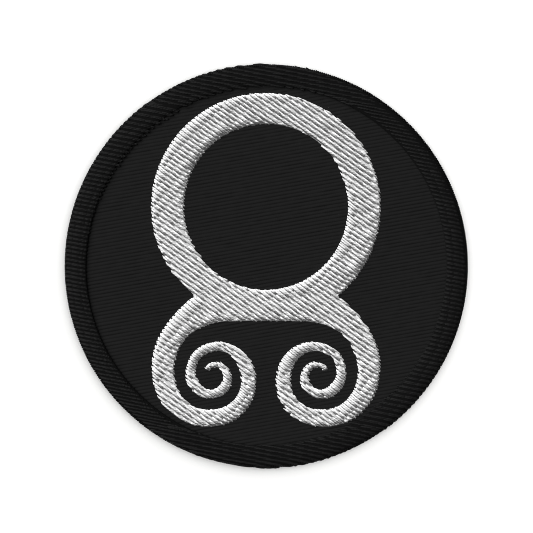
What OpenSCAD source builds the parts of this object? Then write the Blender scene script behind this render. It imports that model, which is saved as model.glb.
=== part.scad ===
// Round embroidered patch: twill ground, thread-wrapped border and a raised white emblem.
// Millimetres. The patch lies face up on z = 0 with its centre on the Z axis, top of the emblem to +Y.

/* [Patch] */
// Outer diameter of the patch, over the border
patch_d = 76.2; // [60:0.1:110]
// Thickness of the twill ground with its stabiliser
cloth_t = 1; // [0.8:0.1:2]

/* [Border] */
// Width of the border seen from the front
border_w = 4.3; // [3.4:0.1:6]
// Width of the border on the back
border_back_w = 3.8; // [3:0.1:5.5]
// Thread thickness under the cloth
border_under_t = 0.55; // [0.4:0.05:1]
// Rise of the border's crown above the cloth
border_rise = 0.85; // [0.6:0.05:1.6]
// Depth to which the cloth's edge is held in the border
border_grip = 2.6; // [1.5:0.1:2.8]

/* [Emblem] */
// Inner diameter of the emblem's ring
ring_inner_d = 31.2; // [28:0.1:34]
// Width of the ring's stroke
ring_stroke = 5.85; // [4.5:0.05:7]
// Gap between the top of the ring and the border
ring_gap = 1.25; // [0.5:0.05:3]
// Gap between the scrolls and the border
scroll_gap = 0.6; // [0.5:0.05:3]
// How far the scrolls' start hangs below the foot of the ring
scroll_drop = 0.05; // [0:0.05:0.5]
// Height of the embroidery above the cloth
emblem_h = 0.7; // [0.4:0.05:1.2]
// Distance over which the embroidery rounds down to its edge
emblem_round = 1.1; // [0.6:0.05:1.8]

/* [Fits] */
// Gap left between one piece and the next
clearance = 0.05; // [0.02:0.01:0.1]

/* [Hidden] */
patch_r = patch_d / 2;
cloth_r = patch_r - border_w + border_grip;
cloth_z = border_under_t + clearance;
cloth_top = cloth_z + cloth_t;
emblem_z = cloth_top + clearance;
crown_z = cloth_top + border_rise;
field_r = patch_r - border_w;
ring_r = ring_inner_d / 2;
ring_outer_r = ring_r + ring_stroke;
ring_y = field_r - ring_gap - ring_outer_r;

// A scroll's centre lies off the middle line and below its own start by these shares of its radius,
// and its outer side stands this share of its radius from the centre where it is nearest the border
SCROLL_OUT = 0.986;
SCROLL_DOWN = 0.976;
SCROLL_REACH = 0.92;
// The radius at which the scrolls just keep their gap to the border
scroll_top = ring_outer_r - ring_y + scroll_drop;
scroll_room = field_r - scroll_gap;
fit_a = pow(SCROLL_OUT, 2) + pow(SCROLL_DOWN, 2) - pow(SCROLL_REACH, 2);
fit_b = SCROLL_DOWN * scroll_top + SCROLL_REACH * scroll_room;
fit_c = pow(scroll_top, 2) - pow(scroll_room, 2);
scroll_r = (sqrt(pow(fit_b, 2) - fit_a * fit_c) - fit_b) / fit_a;
scroll_x = SCROLL_OUT * scroll_r;
scroll_y = -scroll_top - SCROLL_DOWN * scroll_r;

// The border's crest lies at this share of its width from the inner edge
crest_share = 0.4;
// Its inner edge starts at this share of its rise
lip_share = 0.3;
// Its outer side turns under at this share of the full height
turn_share = 0.45;
// How full its curves are: 2 is round and more is squarer
foot_bulge = 2;
outer_bulge = 2.2;
inner_bulge = 2.6;
// A narrow band of embroidery rounds over this share of its width, and is lower for it
round_share = 0.44;
curve_steps = 6;
sweep_angle = 10;
ring_facets = 180;

// Each row is one point of the embroidery's edge, as a share of the rounding's reach and of its height
EDGE_REACH = 0;
EDGE_HEIGHT = 1;
edge_rows = [
    // reach, height
    [0, 0],
    [0, 0.38],
    [0.12, 0.64],
    [0.35, 0.87],
    [0.66, 0.97],
    [1, 1],
];

// Each row is one section of a scroll, both radii as shares of scroll_r.
// It starts in the foot of the ring, passes the shoulder and winds inwards to the tip.
TURN = 0;
OUTER = 1;
INNER = 2;
scroll_rows = [
    // turn, outer, inner
    [45, 1.94, 1.38],
    [60, 1.68, 1.115],
    [90, 1.54, 0.92],
    [120, 1.25, 0.81],
    [150, 1.10, 0.70],
    [180, 1.00, 0.64],
    [210, 0.96, 0.61],
    [240, 0.92, 0.60],
    [270, 0.89, 0.58],
    [300, 0.88, 0.595],
    [330, 0.845, 0.595],
    [360, 0.795, 0.56],
    [390, 0.75, 0.535],
    [420, 0.675, 0.495],
    [450, 0.595, 0.425],
    [480, 0.52, 0.37],
    [510, 0.45, 0.30],
    [540, 0.415, 0.255],
    [570, 0.40, 0.22],
    [600, 0.395, 0.215],
    [630, 0.39, 0.23],
    [660, 0.395, 0.235],
    [690, 0.395, 0.24],
    [720, 0.37, 0.245],
    [750, 0.345, 0.23],
    [780, 0.295, 0.185],
    [810, 0.23, 0.145],
    [825, 0.195, 0.12],
    [838, 0.145, 0.115],
];

// A quarter of a superellipse from the corner's start to its end
function quarter(from, to, bulge, flat_first) = [
    for (i = [0 : curve_steps])
        let (
            a = 90 * i / curve_steps,
            s = pow(sin(a), 2 / bulge),
            c = 1 - pow(cos(a), 2 / bulge)
        )
        flat_first
            ? [from[0] + (to[0] - from[0]) * s, from[1] + (to[1] - from[1]) * c]
            : [from[0] + (to[0] - from[0]) * c, from[1] + (to[1] - from[1]) * s]
];

// The row at or below a turn
function row_before(turn) = max([for (i = [0 : len(scroll_rows) - 2]) if (scroll_rows[i][TURN] <= turn) i]);

// The slope of a column at a row, from its neighbours
function row_slope(i, column) =
    let (
        a = scroll_rows[max(i - 1, 0)],
        b = scroll_rows[min(i + 1, len(scroll_rows) - 1)]
    )
    (b[column] - a[column]) / (b[TURN] - a[TURN]);

// A column's smooth value at any turn
function scroll_at(turn, column) =
    let (
        i = row_before(turn),
        a = scroll_rows[i],
        b = scroll_rows[i + 1],
        span = b[TURN] - a[TURN],
        t = (turn - a[TURN]) / span
    )
    a[column] * (1 + 2 * t) * pow(1 - t, 2)
    + row_slope(i, column) * span * t * pow(1 - t, 2)
    + b[column] * t * t * (3 - 2 * t)
    - row_slope(i + 1, column) * span * t * t * (1 - t);

// Height and edge rounding of a band of embroidery of a given width
function band_reach(w) = min(emblem_round, round_share * w);
function band_height(w) = emblem_h * sqrt(band_reach(w) / emblem_round);

// Section of a band from one side to the other: distance across it, height above its underside
function band_section(w) =
    let (
        reach = band_reach(w),
        h = band_height(w),
        side = [for (row = edge_rows) [row[EDGE_REACH] * reach, row[EDGE_HEIGHT] * h]]
    )
    concat(side, [for (i = [len(side) - 1 : -1 : 0]) [w - side[i][0], side[i][1]]]);

// Border section: crowned over the face, flat on the back
module border_section() {
    crest_r = field_r + crest_share * border_w;
    turn_z = turn_share * crown_z;
    back_r = patch_r - border_back_w;
    foot_r = patch_r - turn_z;
    lip_z = cloth_top + lip_share * border_rise;
    polygon(concat(
        [[back_r, 0]],
        quarter([foot_r, 0], [patch_r, turn_z], foot_bulge, true),
        quarter([patch_r, turn_z], [crest_r, crown_z], outer_bulge, false),
        quarter([crest_r, crown_z], [field_r, lip_z], inner_bulge, true),
        [[field_r, cloth_top], [back_r, cloth_top]]
    ));
}

// One scroll, wound about its own centre
module scroll() {
    turn_from = scroll_rows[0][TURN];
    turn_to = scroll_rows[len(scroll_rows) - 1][TURN];
    steps = ceil((turn_to - turn_from) / sweep_angle);
    count = 2 * len(edge_rows);
    points = [
        for (k = [0 : steps])
            let (
                turn = turn_from + (turn_to - turn_from) * k / steps,
                outer = scroll_r * scroll_at(turn, OUTER),
                inner = scroll_r * scroll_at(turn, INNER)
            )
            for (p = band_section(outer - inner))
                [(inner + p[0]) * cos(turn), (inner + p[0]) * sin(turn), p[1]]
    ];
    sides = [
        for (k = [0 : steps - 1])
            for (j = [0 : count - 1])
                let (
                    a = k * count + j,
                    b = k * count + (j + 1) % count,
                    c = b + count,
                    d = a + count
                )
                each [[a, c, b], [a, d, c]]
    ];
    last = steps * count;
    caps = [
        for (j = [1 : count - 2])
            each [[0, j, j + 1], [last, last + j + 1, last + j]]
    ];
    polyhedron(points = points, faces = concat(sides, caps), convexity = 12);
}

module base_cloth() {
    color("#1d1d1f")
    translate([0, 0, cloth_z])
        cylinder(h = cloth_t, r = cloth_r, $fn = ring_facets);
}

module edge_border() {
    color("#161618")
    difference() {
        rotate_extrude($fn = ring_facets)
            border_section();
        translate([0, 0, cloth_z - clearance])
            cylinder(h = cloth_t + 2 * clearance, r = cloth_r + clearance, $fn = ring_facets);
    }
}

// The ring, with a crowned stroke
module ring() {
    translate([0, ring_y, 0])
        rotate_extrude($fn = ring_facets)
        translate([ring_r, 0])
        polygon(band_section(ring_stroke));
}

module emblem() {
    color("#f2f2f0")
    translate([0, 0, emblem_z]) {
        ring();
        difference() {
            for (side = [0, 1])
                mirror([side, 0, 0])
                translate([-scroll_x, scroll_y, 0])
                scroll();
            // Keeps the start of the scrolls out of the ring's opening
            translate([0, ring_y, -clearance])
                cylinder(h = emblem_h + 2 * clearance, r = ring_r, $fn = ring_facets);
        }
    }
}

base_cloth();
edge_border();
emblem();
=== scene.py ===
import math

import bpy
import numpy as np
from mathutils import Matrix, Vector
from mathutils.bvhtree import BVHTree


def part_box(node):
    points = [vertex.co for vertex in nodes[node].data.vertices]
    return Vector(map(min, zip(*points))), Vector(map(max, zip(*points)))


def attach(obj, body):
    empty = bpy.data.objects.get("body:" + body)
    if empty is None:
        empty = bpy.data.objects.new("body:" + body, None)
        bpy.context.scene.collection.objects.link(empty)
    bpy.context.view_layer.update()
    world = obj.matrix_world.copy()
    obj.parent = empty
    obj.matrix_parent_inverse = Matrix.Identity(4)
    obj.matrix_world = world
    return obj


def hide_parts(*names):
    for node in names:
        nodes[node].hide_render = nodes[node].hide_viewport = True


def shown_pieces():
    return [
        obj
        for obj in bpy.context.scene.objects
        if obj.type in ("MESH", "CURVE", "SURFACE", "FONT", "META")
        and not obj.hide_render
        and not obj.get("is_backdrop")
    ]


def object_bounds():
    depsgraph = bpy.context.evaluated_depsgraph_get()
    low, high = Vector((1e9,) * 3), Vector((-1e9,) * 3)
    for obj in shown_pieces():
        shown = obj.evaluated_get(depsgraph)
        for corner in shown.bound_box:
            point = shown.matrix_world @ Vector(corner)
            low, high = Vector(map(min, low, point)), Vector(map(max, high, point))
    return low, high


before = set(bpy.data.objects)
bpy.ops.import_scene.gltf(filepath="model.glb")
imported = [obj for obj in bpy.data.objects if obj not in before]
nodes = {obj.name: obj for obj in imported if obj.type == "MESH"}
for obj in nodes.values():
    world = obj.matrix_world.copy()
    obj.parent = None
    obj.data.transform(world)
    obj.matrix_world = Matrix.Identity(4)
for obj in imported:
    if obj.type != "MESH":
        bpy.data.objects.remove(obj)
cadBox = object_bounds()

print("frame loaded")

# Metres throughout. The patch lies face up on z = 0, and the top of the emblem is towards +Y.
mm = 0.001
patchRadius = (cadBox[1].x - cadBox[0].x) / 2
borderWidth = 4.3 * mm  # on the face, as the CAD model has it
clothLow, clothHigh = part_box("base_cloth")
clothRadius = (clothHigh[0] - clothLow[0]) / 2
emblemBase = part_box("emblem")[0][2]  # height of the embroidery's underside


def deselectAll():
    bpy.ops.object.select_all(action="DESELECT")


def hexLinear(code):  # sRGB hex to the linear colour that the shader wants
    parts = [int(code[i : i + 2], 16) / 255 for i in (0, 2, 4)]
    return tuple(c / 12.92 if c <= 0.04045 else ((c + 0.055) / 1.055) ** 2.4 for c in parts) + (1.0,)


def addNode(tree, kind, inputs=None, **settings):
    node = tree.nodes.new(kind)
    for name, value in settings.items():
        setattr(node, name, value)
    for key, value in (inputs or {}).items():
        if isinstance(value, bpy.types.NodeSocket):
            tree.links.new(value, node.inputs[key])
        else:
            node.inputs[key].default_value = value
    return node


def newMaterial(name):
    material = bpy.data.materials.new(name)
    material.use_nodes = True
    material.node_tree.nodes.clear()
    return material, material.node_tree


# Camera: straight above, as the photo was taken, with a long lens.
camera = {
    "lens": 100,  # mm
    "sensor": 36,  # mm
    "frameWidth": 100.56 * mm,  # what 533 px span at the patch's widest level
    "levelZ": 1.1 * mm,  # height of the patch's widest level
    "centre": (0.04 * mm, -0.1 * mm),  # middle of the photo, from the middle of the patch
    "nearest": 0.01,
    "farthest": 10,
}


def makeCamera():
    data = bpy.data.cameras.new("camera")
    data.lens = camera["lens"]
    data.sensor_width = camera["sensor"]
    data.clip_start = camera["nearest"]
    data.clip_end = camera["farthest"]
    cameraObject = bpy.data.objects.new("camera", data)
    distance = camera["frameWidth"] * camera["lens"] / camera["sensor"]
    cameraObject.location = (*camera["centre"], camera["levelZ"] + distance)
    bpy.context.scene.collection.objects.link(cameraObject)
    bpy.context.scene.camera = cameraObject


# Light: each lamp lights its own things. The white thread has a narrow low one from the upper left,
# the black pieces a broad one from the left and the floor a very broad one from the top.
# Azimuths are degrees anticlockwise from +X, and width is how wide a lamp looks, in degrees.
light = {
    "key": {"azimuth": 125, "elevation": 30, "width": 12, "strength": 5.75},
    "borderKey": {"azimuth": 150, "elevation": 50, "width": 70, "strength": 3.38},
    "floorLight": {"azimuth": 76, "elevation": 61, "width": 130, "strength": 4.1},
    "roomStrength": 0.12,  # of the pale room all round
    "filterWidth": 0.9,  # pixels over which a render is smoothed
}


def makeSun(name, sun, lit):
    data = bpy.data.lights.new(name, "SUN")
    data.energy = sun["strength"]
    data.angle = math.radians(sun["width"])
    lamp = bpy.data.objects.new(name, data)
    azimuth, elevation = math.radians(sun["azimuth"]), math.radians(sun["elevation"])
    flat = math.cos(elevation)
    towards = Vector((math.cos(azimuth) * flat, math.sin(azimuth) * flat, math.sin(elevation)))
    lamp.location = towards
    lamp.rotation_mode = "QUATERNION"
    lamp.rotation_quaternion = towards.to_track_quat("Z", "Y")
    bpy.context.scene.collection.objects.link(lamp)
    lamp.light_linking.receiver_collection = bpy.data.collections.new(name + "_lights")
    for thing in lit:
        lamp.light_linking.receiver_collection.objects.link(thing)


def makeRoom():
    scene = bpy.context.scene
    world = bpy.data.worlds.new("room")
    scene.world = world
    world.use_nodes = True
    background = world.node_tree.nodes["Background"]
    background.inputs["Color"].default_value = (1, 1, 1, 1)
    background.inputs["Strength"].default_value = light["roomStrength"]
    scene.view_settings.view_transform = "Standard"
    scene.cycles.filter_width = light["filterWidth"]


# Floor: matte white card, which throws no light back on the patch.
card = {"size": 3, "colour": "F2F2F1", "roughness": 0.9, "specular": 0.1}


def makeFloor():
    deselectAll()
    bpy.ops.mesh.primitive_plane_add(size=card["size"])
    floor = bpy.context.active_object
    floor.name = "floor"
    material, tree = newMaterial("matte_white_card")
    shader = addNode(
        tree,
        "ShaderNodeBsdfPrincipled",
        {
            "Base Color": hexLinear(card["colour"]),
            "Roughness": card["roughness"],
            "Specular IOR Level": card["specular"],
        },
    )
    addNode(tree, "ShaderNodeOutputMaterial", {"Surface": shader.outputs[0]})
    floor.data.materials.append(material)
    floor.visible_diffuse = False
    floor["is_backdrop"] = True
    return floor


makeCamera()
makeRoom()
floor = makeFloor()
print("camera, room and floor")

# Thread: colour and shade are the lightest and the darkest strand.
thread = {
    "white": {"colour": "E6E6E6", "shade": "CECECE", "roughness": 0.35, "specular": 0.5},
    "black": {"colour": "1F1F1F", "shade": "191919", "roughness": 0.6, "specular": 0.08},
    # the wrap's colours are the face's black painted darker: painted shade on the rim's side and between
    # the rows' ends
    "wrap": {"colour": "1A1A1A", "shade": "151515", "roughness": 0.8, "specular": 0.03},
    # the padding's colour is the black painted darker: painted shade in the grooves between the border's
    # rows
    "padding": {"colour": "141414", "shade": "141414", "roughness": 0.9, "specular": 0.0},
    "plies": 2,
    "plyPitch": 1.1,  # mm that one ply takes for a whole turn
    "filaments": 14,  # round a strand, coarser than real ones so that they show
    "filamentShare": 0.2,  # of a ply's relief
    "bumpDepth": 0.02 * mm,
    "bumpStrength": 0.6,
}


# Materials for thread. The threadUv map has millimetres along the thread in u, and turns round it in v.
def threadMaterial(name, look):
    # Polyester embroidery thread, two plies of fine filament: a soft satin sheen and a slanted ply line.
    material, tree = newMaterial(name)
    uv = addNode(tree, "ShaderNodeUVMap", uv_map="threadUv")
    split = addNode(tree, "ShaderNodeSeparateXYZ", {"Vector": uv.outputs[0]})
    perTurn = 1 / thread["plyPitch"]
    along = addNode(tree, "ShaderNodeMath", {0: split.outputs[0], 1: perTurn}, operation="MULTIPLY")
    spiral = addNode(tree, "ShaderNodeMath", {0: along.outputs[0], 1: split.outputs[1]}, operation="ADD")
    plyTurn = thread["plies"] * 2 * math.pi
    plyAngle = addNode(tree, "ShaderNodeMath", {0: spiral.outputs[0], 1: plyTurn}, operation="MULTIPLY")
    ply = addNode(tree, "ShaderNodeMath", {0: plyAngle.outputs[0]}, operation="SINE")
    fineTurn = thread["filaments"] * 2 * math.pi
    fineAngle = addNode(tree, "ShaderNodeMath", {0: spiral.outputs[0], 1: fineTurn}, operation="MULTIPLY")
    filament = addNode(tree, "ShaderNodeMath", {0: fineAngle.outputs[0]}, operation="SINE")
    share = thread["filamentShare"]
    faint = addNode(tree, "ShaderNodeMath", {0: filament.outputs[0], 1: share}, operation="MULTIPLY")
    height = addNode(tree, "ShaderNodeMath", {0: ply.outputs[0], 1: faint.outputs[0]}, operation="ADD")
    bump = addNode(
        tree,
        "ShaderNodeBump",
        {
            "Height": height.outputs[0],
            "Distance": thread["bumpDepth"],
            "Strength": thread["bumpStrength"],
        },
    )
    tone = addNode(tree, "ShaderNodeAttribute", attribute_name="tone")
    mix = addNode(
        tree,
        "ShaderNodeMix",
        {"Factor": tone.outputs["Fac"], "A": hexLinear(look["shade"]), "B": hexLinear(look["colour"])},
        data_type="RGBA",
    )
    shader = addNode(
        tree,
        "ShaderNodeBsdfPrincipled",
        {
            "Base Color": mix.outputs["Result"],
            "Roughness": look["roughness"],
            "Specular IOR Level": look["specular"],
            "Normal": bump.outputs[0],
        },
    )
    addNode(tree, "ShaderNodeOutputMaterial", {"Surface": shader.outputs[0]})
    return material


# One strand, modelled once: a round bar along X from 0 to 1 with its tips closed.
def makeStrand(name, sides, rings):
    deselectAll()
    bpy.ops.mesh.primitive_cylinder_add(
        vertices=sides,
        radius=1,
        depth=1,
        end_fill_type="TRIFAN",
        location=(0.5, 0, 0),
        rotation=(0, math.pi / 2, 0),
    )
    strand = bpy.context.active_object
    strand.name = name
    bpy.ops.object.transform_apply(location=True, rotation=True, scale=True)
    bpy.ops.object.mode_set(mode="EDIT")
    for k in range(1, rings - 1):
        bpy.ops.mesh.select_all(action="SELECT")
        place = (1 - math.cos(math.pi * k / (rings - 1))) / 2  # closer together near the tips
        bpy.ops.mesh.bisect(plane_co=(place, 0, 0), plane_no=(1, 0, 0))
    bpy.ops.object.mode_set(mode="OBJECT")
    mesh = strand.data
    points = np.empty(3 * len(mesh.vertices))
    mesh.vertices.foreach_get("co", points)
    points = points.reshape(-1, 3)
    levels = np.unique(np.round(points[:, 0], 5))
    faces = [list(p.vertices) for p in mesh.polygons]
    turn = (np.arctan2(points[:, 1], -points[:, 2]) / (2 * math.pi)) % 1  # 0 at the underside
    onAxis = np.hypot(points[:, 1], points[:, 2]) < 0.01
    loops = []
    for face in faces:
        around = np.array([turn[v] for v in face])
        if around.max() - around.min() > 0.5:  # a face over the seam
            around[around < 0.5] += 1
        loops += [(points[v, 0], 0.5 if onAxis[v] else a) for v, a in zip(face, around)]
    made = {
        "levels": levels,
        "ring": np.searchsorted(levels, np.round(points[:, 0], 5)),
        "side": points[:, 1],
        "up": points[:, 2],
        "faces": faces,
        "loops": np.array(loops),
    }
    bpy.data.objects.remove(strand)
    bpy.data.meshes.remove(mesh)
    return made


# What all strands and rows have in common.
laying = {
    "rimZone": 2 * mm,  # a row that ends this near the patch's outline ends on the rim
    "margin": 2 * mm,  # how far past a solid's corners its rows are looked for
    "halvings": 7,  # how often the step in which a row ends is halved to find its end
    "steepest": 2.2,  # limit to the outline's slope against the rows
    "leastStrand": 0.15 * mm,  # a shorter one is left out
    "toneSpread": 0.25,  # from strand to strand
    "patternJump": 7.3,  # mm along the thread's pattern from one strand to the next
}


def strandTones(count, random):
    return np.clip(0.5 + random.normal(0, laying["toneSpread"], count), 0, 1)


# Many copies of the strand as one mesh. In laid, centre, side and up are (strand, ring, xyz) arrays,
# the half sizes are (strand, ring), and lengths and tones have one value for each strand.
def layStrands(name, strand, laid, material):
    ring = strand["ring"]
    sideways = laid["halfWidth"][:, ring] * strand["side"]
    upwards = laid["halfHeight"][:, ring] * strand["up"]
    points = (
        laid["centre"][:, ring]
        + laid["side"][:, ring] * sideways[..., None]
        + laid["up"][:, ring] * upwards[..., None]
    )
    count, each = points.shape[:2]
    faces = [[v + k * each for v in face] for k in range(count) for face in strand["faces"]]
    mesh = bpy.data.meshes.new(name)
    mesh.from_pydata(points.reshape(-1, 3), [], faces)
    mesh.polygons.foreach_set("use_smooth", np.ones(len(faces), bool))
    loops = strand["loops"]
    along = (laid["lengths"] / mm)[:, None] * loops[:, 0]
    uv = np.empty((count, len(loops), 2), np.float32)
    uv[..., 0] = along + laying["patternJump"] * np.arange(count)[:, None]
    uv[..., 1] = loops[:, 1]
    mesh.uv_layers.new(name="threadUv").data.foreach_set("uv", uv.ravel())
    tones = np.repeat(laid["tones"], each).astype(np.float32)
    mesh.attributes.new("tone", "FLOAT", "POINT").data.foreach_set("value", tones)
    piece = bpy.data.objects.new(name, mesh)
    bpy.context.scene.collection.objects.link(piece)
    mesh.materials.append(material)
    print(name, count, "strands", sum(len(f) - 2 for f in strand["faces"]) * count, "triangles")
    return piece


# The CAD node's top surface, looked up from straight above.
def topOf(node):
    mesh = nodes[node].data
    places = [v.co.copy() for v in mesh.vertices]
    tree = BVHTree.FromPolygons(places, [tuple(p.vertices) for p in mesh.polygons])
    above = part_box(node)[1][2] + 1 * mm

    def lookUp(x, y):
        place = tree.ray_cast(Vector((x, y, above)), Vector((0, 0, -1)))[0]
        return None if place is None else place.z

    return lookUp


# What the rows of one fill share: the solid under them, their direction and the strand's own levels.
def planRows(fill, node, strand):
    low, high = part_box(node)
    angle = math.radians(fill["angle"])
    return {
        "lookUp": topOf(node),
        "bottom": low[2],
        "direction": np.array([math.cos(angle), math.sin(angle)]),
        "normal": np.array([-math.sin(angle), math.cos(angle)]),
        "middle": np.array([(high[0] + low[0]) / 2, (high[1] + low[1]) / 2]),
        "reach": math.hypot(high[0] - low[0], high[1] - low[1]) / 2 + laying["margin"],
        "levels": strand["levels"],
        "bend": np.abs(2 * strand["levels"] - 1),  # 0 in a strand's middle and 1 at its tips
    }


# Where a row runs over the solid: both ends of each stretch, measured along the row.
def stretches(fill, rows, row):
    across = rows["middle"] + row * fill["pitch"] * rows["normal"]

    def inside(s):
        return rows["lookUp"](*(s * rows["direction"] + across)) is not None

    def edgeBetween(a, b):
        startsInside = inside(a)
        for _ in range(laying["halvings"]):
            middle = (a + b) / 2
            if inside(middle) == startsInside:
                a = middle
            else:
                b = middle
        return (a + b) / 2

    places = np.arange(-rows["reach"], rows["reach"], fill["step"])
    hits = [inside(s) for s in places]
    steps = zip(places, places[1:], hits, hits[1:])
    edges = [edgeBetween(a, b) for a, b, before, after in steps if before != after]
    return list(zip(edges[0::2], edges[1::2]))


# How far the outline runs along the rows while it crosses one of them, as a slope.
# side is 0 where the row starts at the outline and 1 where it ends there.
def outlineSlope(fill, neighbours, place, side):
    near = [[span[side] for span in spans] for spans in neighbours]
    if not near[0] or not near[1]:
        return 0
    before, after = (min(edges, key=lambda e: abs(e - place)) for edges in near)
    return max(-laying["steepest"], min(laying["steepest"], (after - before) / fill["pitch"]))


# The needle points of a stretch lie a stitch apart, and are shifted by half a stitch in every other row.
def needlePoints(fill, row, span, over, random):
    start, end = span
    length = end - start
    isShort = length < fill["longStretch"]
    stitch = fill["shortStitch"] if isShort else fill["stitch"]
    if isShort and fill["shortCuts"]:
        cuts = [end - c for c in fill["shortCuts"]]
    else:
        phase = fill["phase"] * stitch + (row % 2) * stitch / 2
        first = math.ceil((start - phase) / stitch)
        cuts = [phase + k * stitch for k in range(first, first + int(length / stitch) + 2)]
    cuts = sorted(c for c in cuts if start + fill["shortest"] < c < end - fill["shortest"])
    if length < fill["uncutStretch"]:
        cuts = []
    cuts = [c + random.normal(0, fill["needleJitter"]) for c in cuts]
    start -= over[0] + random.normal(0, fill["edgeJitter"])
    end += over[1] + random.normal(0, fill["edgeJitter"])
    return [start, *cuts, end], stitch, isShort


# One stretch of a row, with its needle points and what its strands share.
def describeStretch(fill, rows, row, span, neighbours, random):
    offset = row * fill["pitch"]
    ends = [rows["middle"] + s * rows["direction"] + offset * rows["normal"] for s in span]
    onRim = [np.linalg.norm(place) > patchRadius - laying["rimZone"] for place in ends]
    over = [fill["overRim"] if rim else fill["overInner"] for rim in onRim]
    points, stitch, isShort = needlePoints(fill, row, span, over, random)
    paired = fill["pairShift"] * (1 if row % 2 == 0 else -1) if isShort else 0
    return {
        "span": span,
        "points": points,
        "stitch": stitch,
        "slant": fill["shortSlant"] if isShort else fill["slant"],
        "inLine": isShort and bool(fill["shortCuts"]),  # its stitches lie in one straight line
        "across": offset + paired,
        "onRim": onRim,
        "slopes": [outlineSlope(fill, neighbours, place, side) for side, place in enumerate(span)],
    }


# Heights of the solid's top along a strand, kept down towards the outline as by a sloping roof.
def roofedHeights(fill, rows, stretch, ground, s):
    heights = [rows["lookUp"](x, y) for x, y in ground]
    known = [h for h in heights if h is not None] or [rows["bottom"] + fill["rimLevel"]]
    heights = np.array([min(known) if h is None else h for h in heights])
    start, end = stretch["span"]
    for side, (tip, along) in enumerate((("start", s - start), ("end", end - s))):
        if stretch["onRim"][side] == fill["roofOnRim"]:
            roof = fill["roof"][tip]
            fromEdge = along / math.hypot(1, stretch["slopes"][side])
            rise = roof["rise"] * (1 - np.exp(-np.maximum(0, fromEdge) / fill["roofReach"]))
            heights = np.minimum(heights, rows["bottom"] + roof["height"] + rise)
    return heights


# One strand from a to b along its row: its middle line, its length and how its ends are cut.
def strandLine(fill, rows, stretch, a, b, random):
    levels, bend = rows["levels"], rows["bend"]
    start, end = stretch["span"]
    atStart, atEnd = a == stretch["points"][0], b == stretch["points"][-1]
    if stretch["inLine"]:
        a -= 0 if atStart else fill["shortOverlap"]
        b += 0 if atEnd else fill["shortOverlap"]
        pivot = (start + end) / 2
        dip = fill["shortDip"]
    else:
        pivot = (a + b) / 2
        dip = fill["dip"] * min(1, (b - a) / fill["fullDip"])
    s = a + (b - a) * levels
    cell = (s - pivot) / stretch["stitch"]
    drift = stretch["slant"] * fill["pitch"] * cell + random.normal(0, fill["sideJitter"])
    across = (stretch["across"] + drift)[:, None] * rows["normal"]
    ground = rows["middle"] + s[:, None] * rows["direction"] + across
    away = np.linalg.norm(ground, axis=1)
    ground = ground * np.minimum(1, fill["rimRadius"] / away)[:, None]
    heights = roofedHeights(fill, rows, stretch, ground, s)
    startDip = fill["startDip"] if atStart else 1
    endDip = fill["endDip"] if atEnd else 1
    sink = dip * np.where(levels < 0.5, startDip, endDip) * bend ** fill["archPower"]
    lift = random.normal(0, fill["liftJitter"])
    z = heights - fill["halfHeight"] - sink + lift * (1 - bend**2)
    startSlope, endSlope = stretch["slopes"]
    nearStart = atStart * startSlope * np.clip(1 - (s - a) / fill["flushReach"], 0, 1)
    nearEnd = atEnd * endSlope * np.clip(1 - (b - s) / fill["flushReach"], 0, 1)
    return np.column_stack([ground, z]), b - a, fill["flush"] * (nearStart + nearEnd)


# Lays rows of stitches over a CAD node's top surface and returns what layStrands takes.
def fillWithRows(fill, node, strand, random):
    rows = planRows(fill, node, strand)
    rowCount = int(rows["reach"] / fill["pitch"])
    halfRows = {k: stretches(fill, rows, k / 2) for k in range(-2 * rowCount - 1, 2 * rowCount + 2)}
    found = []
    for row in range(-rowCount, rowCount + 1):
        neighbours = (halfRows[2 * row - 1], halfRows[2 * row + 1])
        for span in halfRows[2 * row]:
            stretch = describeStretch(fill, rows, row, span, neighbours, random)
            for a, b in zip(stretch["points"], stretch["points"][1:]):
                if b - a >= laying["leastStrand"]:
                    found.append(strandLine(fill, rows, stretch, a, b, random))
    centre, lengths, skew = (np.array(column) for column in zip(*found))
    taper = fill["tip"] + (1 - fill["tip"]) * (1 - rows["bend"] ** 2) ** fill["tipPower"]
    thickness = (1 + random.normal(0, fill["widthJitter"], len(found)))[:, None] * taper
    return {
        "centre": centre,
        "side": np.array([*rows["normal"], 0.0]) + skew[..., None] * np.array([*rows["direction"], 0.0]),
        "up": np.broadcast_to(np.array([0.0, 0.0, 1.0]), centre.shape),
        "halfWidth": fill["halfWidth"] * thickness,
        "halfHeight": fill["halfHeight"] * thickness,
        "lengths": lengths,
        "tones": strandTones(len(found), random),
    }


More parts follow.
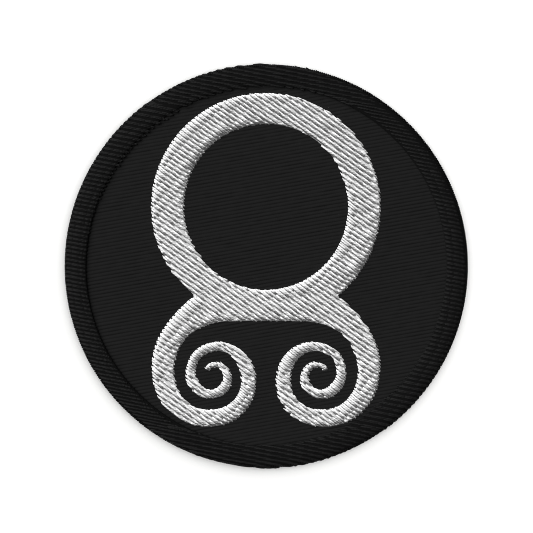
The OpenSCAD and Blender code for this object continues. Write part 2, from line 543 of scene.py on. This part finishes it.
# Emblem: white filling stitches in slanted rows, half a stitch apart from row to row.
emblemFill = {
    "seed": 11,
    "sides": 8,  # of a strand
    "rings": 9,
    "angle": -45,  # degrees, the rows' direction
    "pitch": 0.40 * mm,  # from row to row
    "step": 0.25 * mm,  # in which a row is followed over the solid
    "stitch": 4.0 * mm,
    "phase": 0.4,  # share of a stitch
    "slant": 1.05,  # share of the pitch that a stitch drifts across its row
    "longStretch": 5 * mm,  # what is shorter takes the short values
    "shortStitch": 4.0 * mm,
    "shortSlant": 1.05,
    "shortCuts": [],  # own needle points of a short stretch, from its end; here it has none
    "pairShift": 0.04 * mm,  # how far the rows of a short stretch draw together in pairs
    "uncutStretch": 2.6 * mm,  # what is shorter is one stitch
    "shortest": 0.6 * mm,  # least distance of a needle point from the outline
    "overInner": 0.14 * mm,  # how far a row goes past an outline that isn't the patch's own
    "rimRadius": patchRadius,  # how far out a strand's middle may lie
    "rimLevel": 0.27 * mm,  # height of the solid's outermost edge
    "roofOnRim": False,  # whether the roof holds at the patch's own outline or at all others
    "roof": {
        "start": {"height": 0.42 * mm, "rise": 0.3 * mm},  # where the rows start at the outline
        "end": {"height": 0.03 * mm, "rise": 0.81 * mm},  # and where they end there
    },
    "roofReach": 1.1 * mm,  # how soon the roof rises
    "halfWidth": 0.2 * mm,
    "halfHeight": 0.19 * mm,
    "dip": 0.7 * mm,  # of a strand's ends, below its middle
    "fullDip": 2.5 * mm,  # length from which a strand has its whole dip
    "startDip": 0.15,  # share of the dip where a strand starts at the outline
    "endDip": 0.15,  # and where it ends there
    "archPower": 2.0,  # 2 bends a strand down as a parabola
    "tip": 0.75,  # a strand's thickness at its ends, as a share
    "tipPower": 0.5,  # 0.5 thins it towards them as an ellipse
    "flush": 0.9,  # how far a strand's end is cut to the outline, from square to flush
    "flushReach": 0.6 * mm,
    "needleJitter": 0.1 * mm,
    "edgeJitter": 0.02 * mm,
    "sideJitter": 0.035 * mm,
    "liftJitter": 0.08 * mm,
    "widthJitter": 0.05,
}


def makeEmblem():
    random = np.random.default_rng(emblemFill["seed"])
    strand = makeStrand("emblem_strand", emblemFill["sides"], emblemFill["rings"])
    material = threadMaterial("white_polyester_embroidery_thread", thread["white"])
    laid = fillWithRows(emblemFill, "emblem", strand, random)
    stitches = layStrands("emblem_stitches", strand, laid, material)
    for piece in (stitches, makeUnderlay(material), makeEdgeRun(material)):
        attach(piece, "root")
        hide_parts("emblem")


# A copy of the emblem's solid, drawn in sideways by the inset and then brought to a share of its height.
def shrunkEmblem(name, inset, share, material):
    tall = 10  # it is drawn in while it stands this many times as high, so that it moves mostly sideways
    sameSpot = 0.001 * mm  # points closer than this are joined
    shrunk = bpy.data.objects.new(name, nodes["emblem"].data.copy())
    bpy.context.scene.collection.objects.link(shrunk)
    deselectAll()
    shrunk.select_set(True)
    bpy.context.view_layer.objects.active = shrunk
    bpy.ops.object.mode_set(mode="EDIT")
    bpy.ops.mesh.select_all(action="SELECT")
    bpy.ops.mesh.remove_doubles(threshold=sameSpot)
    bpy.ops.transform.resize(value=(1, 1, tall), center_override=(0, 0, emblemBase))
    bpy.ops.object.mode_set(mode="OBJECT")
    shrink = shrunk.modifiers.new("shrink", "DISPLACE")
    shrink.strength = -inset
    shrink.mid_level = 0
    bpy.ops.object.modifier_apply(modifier="shrink")
    bpy.ops.object.mode_set(mode="EDIT")
    bpy.ops.mesh.select_all(action="SELECT")
    bpy.ops.transform.resize(value=(1, 1, share / tall), center_override=(0, 0, emblemBase))
    bpy.ops.object.mode_set(mode="OBJECT")
    shrunk.data.materials.clear()
    shrunk.data.materials.append(material)
    return shrunk


# Underlay: the first layer of white thread, which shows only between the stitches.
underlay = {
    "inset": 0.3 * mm,
    "share": 0.1,  # of the embroidery's full height
}


def makeUnderlay(material):
    return shrunkEmblem("emblem_underlay", underlay["inset"], underlay["share"], material)


# Edge run: a line of thread just inside the outline, which rounds the fill's edge.
edgeRun = {
    "inset": 0.5 * mm,
    "cutLevel": 0.1 * mm,  # height at which its line is cut from the solid
    "radius": 0.36 * mm,
    "height": -0.22 * mm,  # of its middle, above the emblem's underside
    "roundness": 2,
}


def makeEdgeRun(material):
    run = shrunkEmblem("emblem_edge_run", edgeRun["inset"], 1, material)
    bpy.ops.object.mode_set(mode="EDIT")
    bpy.ops.mesh.select_all(action="SELECT")
    bpy.ops.mesh.bisect(
        plane_co=(0, 0, emblemBase + edgeRun["cutLevel"]),
        plane_no=(0, 0, 1),
        clear_inner=True,
        clear_outer=True,
    )
    bpy.ops.mesh.select_all(action="SELECT")
    bpy.ops.transform.translate(value=(0, 0, edgeRun["height"] - edgeRun["cutLevel"]))
    bpy.ops.object.mode_set(mode="OBJECT")
    bpy.ops.object.convert(target="CURVE")
    run = bpy.context.active_object
    run.data.bevel_depth = edgeRun["radius"]
    run.data.bevel_resolution = edgeRun["roundness"]
    bpy.ops.object.convert(target="MESH")
    run = bpy.context.active_object
    bpy.ops.object.shade_smooth()
    return run


makeEmblem()
print("emblem")

# Border: black filling stitches in level rows over the rim's face. The emblem's notes hold here too.
borderFill = {
    "seed": 23,
    "sides": 8,
    "rings": 8,
    "angle": 0,
    "pitch": 0.40 * mm,
    "step": 0.25 * mm,
    "stitch": 4.0 * mm,
    "phase": 0.3,
    "slant": -1.3,
    "longStretch": 8 * mm,
    "shortStitch": 2.45 * mm,
    "shortSlant": -1.2,
    "shortCuts": [0.55 * mm, 1.3 * mm, 2.9 * mm, 5.2 * mm],
    "shortDip": 0.09 * mm,  # dip of a short stretch's stitches
    "shortOverlap": 0.15 * mm,  # how far neighbouring stitches of a short stretch run into each other
    "pairShift": 0.13 * mm,
    "uncutStretch": 0.8 * mm,
    "shortest": 0.35 * mm,
    "overRim": -0.1 * mm,  # how far a row goes past the patch's own outline
    "overInner": -0.1 * mm,
    "rimRadius": patchRadius - 0.04 * mm,
    "rimLevel": 1.1 * mm,
    "roofOnRim": True,
    "roof": {
        "start": {"height": 1.7 * mm, "rise": 2 * mm},
        "end": {"height": 1.0 * mm, "rise": 1.45 * mm},
    },
    "roofReach": 0.7 * mm,
    "halfWidth": 0.205 * mm,
    "halfHeight": 0.2 * mm,
    "dip": 0.2 * mm,
    "fullDip": 2 * mm,
    "startDip": 0.3,
    "endDip": 0.15,
    "archPower": 2.0,
    "tip": 0.55,
    "tipPower": 0.5,
    "flush": 0.6,
    "flushReach": 0.6 * mm,
    "needleJitter": 0.15 * mm,
    "edgeJitter": 0.03 * mm,
    "sideJitter": 0.02 * mm,
    "liftJitter": 0.03 * mm,
    "widthJitter": 0.05,
}

# The same thread wraps the rim's side and back, one turn beside the other; its colour there is painted
# darker, as painted shade.
borderWrap = {
    "sides": 6,
    "rings": 14,
    "pitch": 0.40 * mm,
    "halfWidth": 0.215 * mm,
    "halfHeight": 0.13 * mm,
    "turnRadius": 1.1 * mm,  # the rim's roundness between its side and its back
    "hiddenTurn": 55,  # degrees that a wrap goes on under the face's rows
    "backWidth": 3.75 * mm,
    "tuck": 0.4 * mm,  # how far a wrap's inner end goes up into the cloth
    "tuckLean": 0.3,  # how far it leans inwards there
    "lift": 0.01 * mm,  # keeps the thickest wraps off the floor
    "lean": 0.45 * mm,  # how far a wrap leans along the rim from one end to the other
    "tip": 0.4,  # share of its thickness that a wrap has at its tips
    "tipGrowth": 4,  # how fast it thickens from there
    "widthJitter": 0.06,
    "leanJitter": 0.05 * mm,
}


# A wrap's section: radius and height at each distance along it, from under the face round to the tuck.
def wrapSection(wrap, distances, arcLength, backLength):
    radius = wrap["turnRadius"] - wrap["halfHeight"]
    middleRadius = patchRadius - wrap["turnRadius"]
    section = np.zeros((len(distances), 2))
    for k, d in enumerate(distances):
        if d < arcLength:
            a = math.radians(wrap["hiddenTurn"]) - d / radius
            section[k] = (middleRadius + radius * math.cos(a), wrap["turnRadius"] + radius * math.sin(a))
        elif d < arcLength + backLength:
            section[k] = (middleRadius - (d - arcLength), wrap["halfHeight"])
        else:
            past = d - arcLength - backLength
            inner = middleRadius - backLength - wrap["tuckLean"] * past
            section[k] = (inner, wrap["halfHeight"] + past)
    return section


# Lays the wraps side by side all round the rim and returns what layStrands takes.
def wrapRim(wrap, strand, random):
    count = round(2 * math.pi * patchRadius / wrap["pitch"])
    levels = strand["levels"]
    arcLength = (wrap["turnRadius"] - wrap["halfHeight"]) * math.radians(wrap["hiddenTurn"] + 90)
    backLength = wrap["backWidth"] - wrap["turnRadius"]
    whole = arcLength + backLength + wrap["tuck"]
    section = wrapSection(wrap, levels * whole, arcLength, backLength)
    slope = np.gradient(section, levels * whole, axis=0)
    slope /= np.linalg.norm(slope, axis=1)[:, None]
    azimuth = 2 * math.pi * np.arange(count) / count
    lean = wrap["lean"] + random.normal(0, wrap["leanJitter"], count)
    turn = azimuth[:, None] + lean[:, None] * (levels - 0.5) / patchRadius
    out = np.stack([np.cos(turn), np.sin(turn), np.zeros_like(turn)], axis=-1)
    centre = out * section[:, 0][None, :, None]
    centre[..., 2] = section[:, 1] + wrap["lift"]
    side = np.stack([-np.sin(turn), np.cos(turn), np.zeros_like(turn)], axis=-1)
    up = out * -slope[:, 1][None, :, None]
    up[..., 2] = slope[:, 0]
    taper = np.minimum(1, wrap["tip"] + wrap["tipGrowth"] * np.minimum(levels, 1 - levels))
    thickness = (1 + random.normal(0, wrap["widthJitter"], count))[:, None] * taper
    narrower = section[:, 0] / patchRadius
    return {
        "centre": centre,
        "side": -side,
        "up": -up,
        "halfWidth": wrap["halfWidth"] * thickness * narrower,
        "halfHeight": wrap["halfHeight"] * thickness,
        "lengths": np.full(count, whole),
        "tones": strandTones(count, random),
    }


def makeBorder():
    random = np.random.default_rng(borderFill["seed"])
    strand = makeStrand("border_strand", borderFill["sides"], borderFill["rings"])
    material = threadMaterial("black_polyester_embroidery_thread", thread["black"])
    laid = fillWithRows(borderFill, "edge_border", strand, random)
    face = layStrands("border_stitches", strand, laid, material)
    wrapStrand = makeStrand("wrap_strand", borderWrap["sides"], borderWrap["rings"])
    wrapMaterial = threadMaterial("black_wrap_thread_painted_shade", thread["wrap"])
    wraps = layStrands("border_wraps", wrapStrand, wrapRim(borderWrap, wrapStrand, random), wrapMaterial)
    padding = threadMaterial("black_padding_thread_painted_shade", thread["padding"])
    for piece in (face, wraps, makeCore(padding), makeLip(material)):
        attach(piece, "root")
        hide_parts("edge_border")


# Core: padding under the rows, so that no light comes through them. Its thread is painted darker than the
# rows', as painted shade in the grooves between them.
borderCore = {
    "inset": 0.2 * mm,  # all round, inside the border's own section
    "width": 4.1 * mm,  # how far in from the patch's outline its top starts
    "topEnd": 0.4 * mm,  # and how far from the outline it ends
    "topPoints": 12,
    "steps": 180,
    "seam": 0.01 * mm,  # points closer than this are joined where the ring closes
}


def makeCore(material):
    inset, turnRadius = borderCore["inset"], borderWrap["turnRadius"]
    lookUp = topOf("edge_border")
    topStart, topEnd = patchRadius - borderCore["width"], patchRadius - borderCore["topEnd"]
    radii = np.linspace(topStart, topEnd, borderCore["topPoints"])
    top = [(r, lookUp(r, 0) - inset) for r in radii]
    below = [(patchRadius - inset, turnRadius), (patchRadius - turnRadius, inset), (radii[0], inset)]
    profile = top + below
    deselectAll()
    bpy.ops.mesh.primitive_circle_add(vertices=len(profile), radius=1)
    core = bpy.context.active_object
    core.name = "border_core"
    for vertex, (r, z) in zip(core.data.vertices, profile):
        vertex.co = (r, 0, z)
    bpy.ops.object.mode_set(mode="EDIT")
    bpy.ops.mesh.select_all(action="SELECT")
    bpy.ops.mesh.spin(steps=borderCore["steps"], angle=2 * math.pi, center=(0, 0, 0), axis=(0, 0, 1))
    bpy.ops.mesh.select_all(action="SELECT")
    bpy.ops.mesh.remove_doubles(threshold=borderCore["seam"])
    bpy.ops.mesh.normals_make_consistent(inside=False)
    bpy.ops.object.mode_set(mode="OBJECT")
    core.data.materials.append(material)
    return core


# Lip: a cord under the rows' ends, all round the border's inner edge.
borderLip = {
    "inset": 0.5 * mm,  # of its middle, from the border's inner edge
    "radius": 0.42 * mm,
    "height": -0.1 * mm,  # of its middle, above the cloth
    "steps": 240,
    "sides": 12,
}


def makeLip(material):
    deselectAll()
    bpy.ops.mesh.primitive_torus_add(
        major_radius=patchRadius - borderWidth + borderLip["inset"],
        minor_radius=borderLip["radius"],
        major_segments=borderLip["steps"],
        minor_segments=borderLip["sides"],
        location=(0, 0, clothHigh[2] + borderLip["height"]),
    )
    lip = bpy.context.active_object
    lip.name = "border_lip"
    bpy.ops.object.transform_apply(location=True, rotation=True, scale=True)
    bpy.ops.object.shade_smooth()
    lip.data.materials.append(material)
    return lip


makeBorder()
print("border")

# Ground: black twill, a sheet with fine ribs that rise to the right.
twill = {
    "seed": 5,
    "ribAngle": 9.8,  # degrees
    "ribPitch": 0.66 * mm,
    "ribDepth": 0.18 * mm,
    "ribPower": 0.6,  # below 1 the ribs are round and the grooves between them sharp
    "unevenness": 0.35,  # share by which the grooves' depth varies
    "perRib": 6,  # rows of faces
    "columns": 60,  # of faces, along the ribs
    "rimShare": 0.9999,  # keeps the first and last row from shrinking to a point
    "colour": "1E1E1E",
    "shade": "181818",
    "mottle": 1.5 * mm,  # size of the cloth's lighter and darker spots
    "yarnPitch": 0.33 * mm,
    "yarnDepth": 0.01 * mm,
    "yarnDistortion": 1.5,
    "yarnStrength": 0.4,
    "roughness": 0.85,
    "specular": 0.1,
}


def twillMaterial():
    # Polyester and cotton twill, piece dyed black: matte, with a fine yarn texture across each rib.
    material, tree = newMaterial("black_poly_cotton_twill")
    place = addNode(tree, "ShaderNodeTexCoord")
    turned = addNode(
        tree,
        "ShaderNodeMapping",
        {"Vector": place.outputs["Object"], "Rotation": (0, 0, math.radians(-twill["ribAngle"]))},
    )
    yarns = addNode(
        tree,
        "ShaderNodeTexWave",
        {
            "Vector": turned.outputs[0],
            "Scale": 1 / twill["yarnPitch"] / 20 * 2 * math.pi,  # its bands lie 2 pi / 20 apart at 1
            "Distortion": twill["yarnDistortion"],
        },
        bands_direction="X",
    )
    mottle = addNode(
        tree,
        "ShaderNodeTexNoise",
        {"Vector": place.outputs["Object"], "Scale": 1 / twill["mottle"], "Detail": 3.0},
    )
    colour = addNode(
        tree,
        "ShaderNodeMix",
        {"Factor": mottle.outputs["Fac"], "A": hexLinear(twill["shade"]), "B": hexLinear(twill["colour"])},
        data_type="RGBA",
    )
    bump = addNode(
        tree,
        "ShaderNodeBump",
        {
            "Height": yarns.outputs["Fac"],
            "Distance": twill["yarnDepth"],
            "Strength": twill["yarnStrength"],
        },
    )
    shader = addNode(
        tree,
        "ShaderNodeBsdfPrincipled",
        {
            "Base Color": colour.outputs["Result"],
            "Roughness": twill["roughness"],
            "Specular IOR Level": twill["specular"],
            "Normal": bump.outputs[0],
        },
    )
    addNode(tree, "ShaderNodeOutputMaterial", {"Surface": shader.outputs[0]})
    return material


# A square grid is drawn out to the round cloth, with u along the ribs and v across them.
def makeCloth():
    columns, ribPitch = twill["columns"], twill["ribPitch"]
    rows = round(2 * clothRadius / ribPitch * twill["perRib"])
    deselectAll()
    bpy.ops.mesh.primitive_grid_add(x_subdivisions=columns, y_subdivisions=rows, size=2)
    cloth = bpy.context.active_object
    cloth.name = "base_cloth_twill"
    mesh = cloth.data
    points = np.empty(3 * len(mesh.vertices))
    mesh.vertices.foreach_get("co", points)
    points = points.reshape(-1, 3)
    v = clothRadius * points[:, 1] * twill["rimShare"]
    u = points[:, 0] * np.sqrt(clothRadius**2 - v**2)
    rib = np.abs(np.sin(math.pi * v / ribPitch)) ** twill["ribPower"]
    groove = np.round(v / ribPitch).astype(int)
    groove -= groove.min()
    column = np.round((points[:, 0] + 1) / 2 * columns).astype(int)
    grid = (groove.max() + 1, columns + 1)
    uneven = np.random.default_rng(twill["seed"]).normal(1, twill["unevenness"], grid)
    depth = twill["ribDepth"] * np.clip(uneven[groove, column], 0, 2)
    turn = math.radians(twill["ribAngle"])
    x = u * math.cos(turn) - v * math.sin(turn)
    y = u * math.sin(turn) + v * math.cos(turn)
    z = clothHigh[2] - depth * (1 - rib)
    mesh.vertices.foreach_set("co", np.column_stack([x, y, z]).ravel())
    mesh.update()
    wall = cloth.modifiers.new("wall", "SOLIDIFY")
    wall.thickness = clothHigh[2] - clothLow[2] - 2 * twill["ribDepth"]
    wall.offset = -1
    bpy.ops.object.modifier_apply(modifier="wall")
    bpy.ops.object.shade_smooth()
    mesh.materials.append(twillMaterial())
    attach(cloth, "root")
    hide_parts("base_cloth")
    print("cloth", sum(len(p.vertices) - 2 for p in mesh.polygons), "triangles")


makeCloth()

blackPieces = [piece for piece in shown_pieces() if not piece.name.startswith("emblem")]
makeSun("border_key", light["borderKey"], blackPieces)
makeSun("key", light["key"], [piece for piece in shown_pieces() if piece not in blackPieces])
makeSun("floor_light", light["floorLight"], [floor])
print("light")
